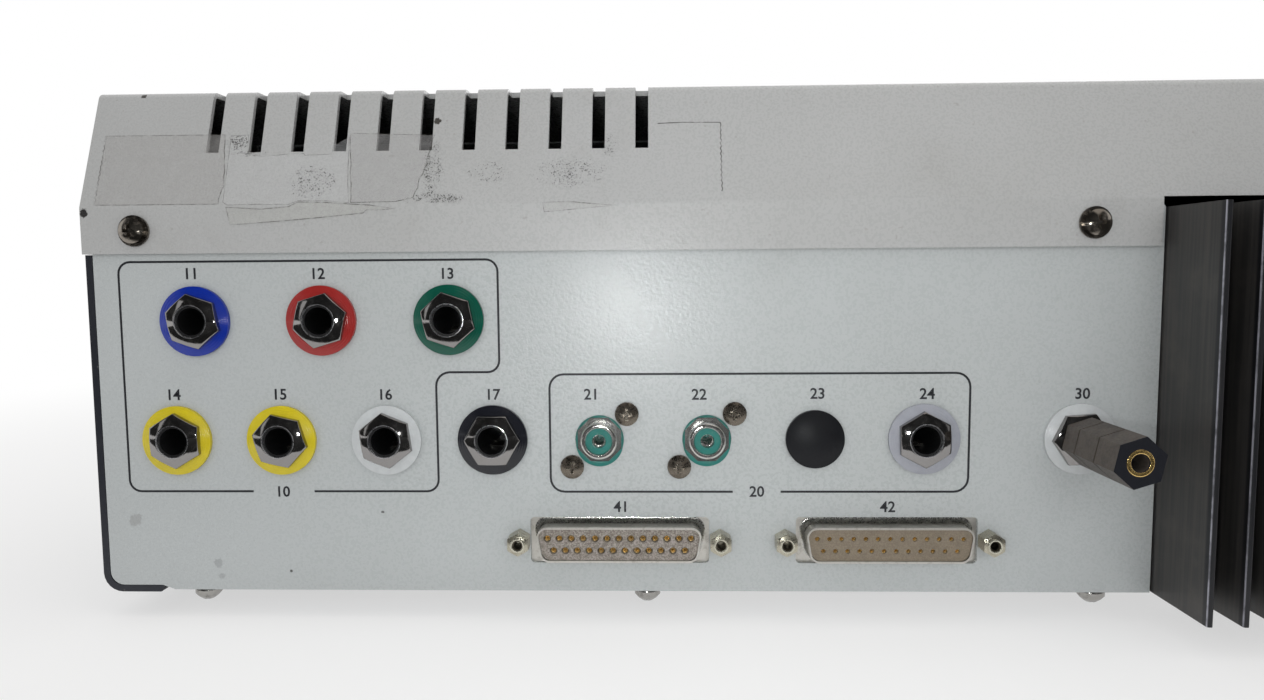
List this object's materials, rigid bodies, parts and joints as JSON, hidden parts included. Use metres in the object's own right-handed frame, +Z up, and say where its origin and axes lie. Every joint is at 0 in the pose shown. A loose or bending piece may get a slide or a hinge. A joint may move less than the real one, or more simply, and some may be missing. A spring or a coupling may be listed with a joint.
{
  "type": "audiometer",
  "caption": "Desk-top two-channel audiometer: sloping control panel with dials and keys, and a connector rear with jacks, data sockets and a finned heat sink.",
  "frame": {"origin": "on the table under the middle of the whole, between the front rail's face and the monitor adapter's tip", "axes": "+Z up, +Y towards the connector rear, +X to the operator's right"},
  "size_m": [0.5, 0.3893, 0.1256],
  "materials": {
    "tray_steel": "plated sheet steel",
    "panel_paint": "light grey, fine orange peel",
    "cover_paint": "light warm grey, fine texture",
    "dark_paint": "dark blue-black, fine texture",
    "anodised": "black anodised extrusion",
    "screw_steel": "bright zinc plating",
    "rubber": "matt",
    "blue_plastic": "moulded",
    "red_plastic": "moulded",
    "green_plastic": "moulded",
    "yellow_plastic": "moulded",
    "clear_plastic": "translucent",
    "black_plastic": "moulded",
    "grey_plastic": "moulded",
    "chrome": "polished chrome plating",
    "teal_plastic": "moulded",
    "tin": "tin plating",
    "beige_plastic": "moulded",
    "brass": "gilt contact",
    "yellow_zinc": "yellow passivated zinc",
    "smoked_glass": "smoked",
    "board": "solder resist",
    "core_steel": "varnished laminations",
    "winding": "taped winding",
    "knob_plastic": "dark grey moulded",
    "key_plastic": "light grey moulded",
    "function_plastic": "blue-grey moulded"
  },
  "bodies": {
    "case": {"base_tray": "tray_steel", "connector_panel": "panel_paint", "mains_panel": "panel_paint", "top_cover": "cover_paint", "left_cheek": "dark_paint", "right_cheek": "dark_paint", "control_panel": "panel_paint", "front_rail": "dark_paint", "heat_sink": "anodised", "cover_screws": "screw_steel", "base_screws": "screw_steel", "rubber_feet": "rubber", "blue_washer": "blue_plastic", "red_washer": "red_plastic", "green_washer": "green_plastic", "yellow_washers": "yellow_plastic", "clear_washers": "clear_plastic", "black_washer": "black_plastic", "grey_washer": "grey_plastic", "jack_nuts": "chrome", "jack_sockets": "black_plastic", "phono_insulators": "teal_plastic", "phono_shells": "tin", "phono_screws": "screw_steel", "microphone_blank": "black_plastic", "dsub_shells": "tin", "dsub_insulators": "beige_plastic", "dsub_pins": "brass", "jackscrews": "yellow_zinc", "mains_inlet": "black_plastic", "inlet_pins": "tin", "fuse_holders": "black_plastic", "switch_housing": "black_plastic", "display_window": "smoked_glass", "display_module": "board", "connector_board": "board", "main_board": "board", "key_board": "board", "rotary_controls": "tin", "transformer_core": "core_steel", "transformer_coil": "winding", "power_transistors": "black_plastic"},
    "attenuator_dial_left": {"attenuator_dial_left": "knob_plastic"},
    "attenuator_dial_right": {"attenuator_dial_right": "knob_plastic"},
    "level_knob_left": {"level_knob_left": "knob_plastic"},
    "level_knob_right": {"level_knob_right": "knob_plastic"},
    "tone_bar_left": {"tone_bar_left": "key_plastic"},
    "tone_bar_right": {"tone_bar_right": "key_plastic"},
    "frequency_key_down": {"frequency_key_down": "key_plastic"},
    "frequency_key_up": {"frequency_key_up": "key_plastic"},
    "function_key_1": {"function_key_1": "function_plastic"},
    "function_key_2": {"function_key_2": "function_plastic"},
    "function_key_3": {"function_key_3": "function_plastic"},
    "function_key_4": {"function_key_4": "function_plastic"},
    "function_key_5": {"function_key_5": "function_plastic"},
    "function_key_6": {"function_key_6": "function_plastic"},
    "function_key_7": {"function_key_7": "function_plastic"},
    "function_key_8": {"function_key_8": "function_plastic"},
    "mains_rocker": {"mains_rocker": "black_plastic"},
    "monitor_adapter": {"monitor_adapter": "black_plastic"}
  },
  "joints": [
    {"name": "attenuator_left_turn", "type": "hinge", "parent": "case", "child": "attenuator_dial_left", "pos_m": [-0.178, -0.1019, 0.07007], "axis": [0, 0.301, -0.9536], "continuous": true},
    {"name": "attenuator_right_turn", "type": "hinge", "parent": "case", "child": "attenuator_dial_right", "pos_m": [0.178, -0.1019, 0.07007], "axis": [0, 0.301, -0.9536], "continuous": true},
    {"name": "level_left_turn", "type": "hinge", "parent": "case", "child": "level_knob_left", "pos_m": [-0.204, 0.02017, 0.10859], "axis": [0, 0.301, -0.9536], "range_deg": [-150, 150]},
    {"name": "level_right_turn", "type": "hinge", "parent": "case", "child": "level_knob_right", "pos_m": [0.204, 0.02017, 0.10859], "axis": [0, 0.301, -0.9536], "range_deg": [-150, 150]},
    {"name": "tone_bar_left_press", "type": "slide", "parent": "case", "child": "tone_bar_left", "axis": [0, 0.301, -0.9536], "range_m": [0, 0.0018], "stiffness_N_per_m": 500, "springref_m": -0.0012},
    {"name": "tone_bar_right_press", "type": "slide", "parent": "case", "child": "tone_bar_right", "axis": [0, 0.301, -0.9536], "range_m": [0, 0.0018], "stiffness_N_per_m": 500, "springref_m": -0.0012},
    {"name": "frequency_key_down_press", "type": "slide", "parent": "case", "child": "frequency_key_down", "axis": [0, 0.301, -0.9536], "range_m": [0, 0.0018], "stiffness_N_per_m": 400, "springref_m": -0.0012},
    {"name": "frequency_key_up_press", "type": "slide", "parent": "case", "child": "frequency_key_up", "axis": [0, 0.301, -0.9536], "range_m": [0, 0.0018], "stiffness_N_per_m": 400, "springref_m": -0.0012},
    {"name": "function_key_1_press", "type": "slide", "parent": "case", "child": "function_key_1", "axis": [0, 0.301, -0.9536], "range_m": [0, 0.0018], "stiffness_N_per_m": 400, "springref_m": -0.0012},
    {"name": "function_key_2_press", "type": "slide", "parent": "case", "child": "function_key_2", "axis": [0, 0.301, -0.9536], "range_m": [0, 0.0018], "stiffness_N_per_m": 400, "springref_m": -0.0012},
    {"name": "function_key_3_press", "type": "slide", "parent": "case", "child": "function_key_3", "axis": [0, 0.301, -0.9536], "range_m": [0, 0.0018], "stiffness_N_per_m": 400, "springref_m": -0.0012},
    {"name": "function_key_4_press", "type": "slide", "parent": "case", "child": "function_key_4", "axis": [0, 0.301, -0.9536], "range_m": [0, 0.0018], "stiffness_N_per_m": 400, "springref_m": -0.0012},
    {"name": "function_key_5_press", "type": "slide", "parent": "case", "child": "function_key_5", "axis": [0, 0.301, -0.9536], "range_m": [0, 0.0018], "stiffness_N_per_m": 400, "springref_m": -0.0012},
    {"name": "function_key_6_press", "type": "slide", "parent": "case", "child": "function_key_6", "axis": [0, 0.301, -0.9536], "range_m": [0, 0.0018], "stiffness_N_per_m": 400, "springref_m": -0.0012},
    {"name": "function_key_7_press", "type": "slide", "parent": "case", "child": "function_key_7", "axis": [0, 0.301, -0.9536], "range_m": [0, 0.0018], "stiffness_N_per_m": 400, "springref_m": -0.0012},
    {"name": "function_key_8_press", "type": "slide", "parent": "case", "child": "function_key_8", "axis": [0, 0.301, -0.9536], "range_m": [0, 0.0018], "stiffness_N_per_m": 400, "springref_m": -0.0012},
    {"name": "mains_rocker_tilt", "type": "hinge", "parent": "case", "child": "mains_rocker", "pos_m": [-0.1596, 0.16495, 0.035], "axis": [1, 0, 0], "range_deg": [0, 20]},
    {"name": "monitor_adapter_pull", "type": "slide", "parent": "case", "child": "monitor_adapter", "axis": [0, 1, 0], "range_m": [0, 0.034]}
  ]
}
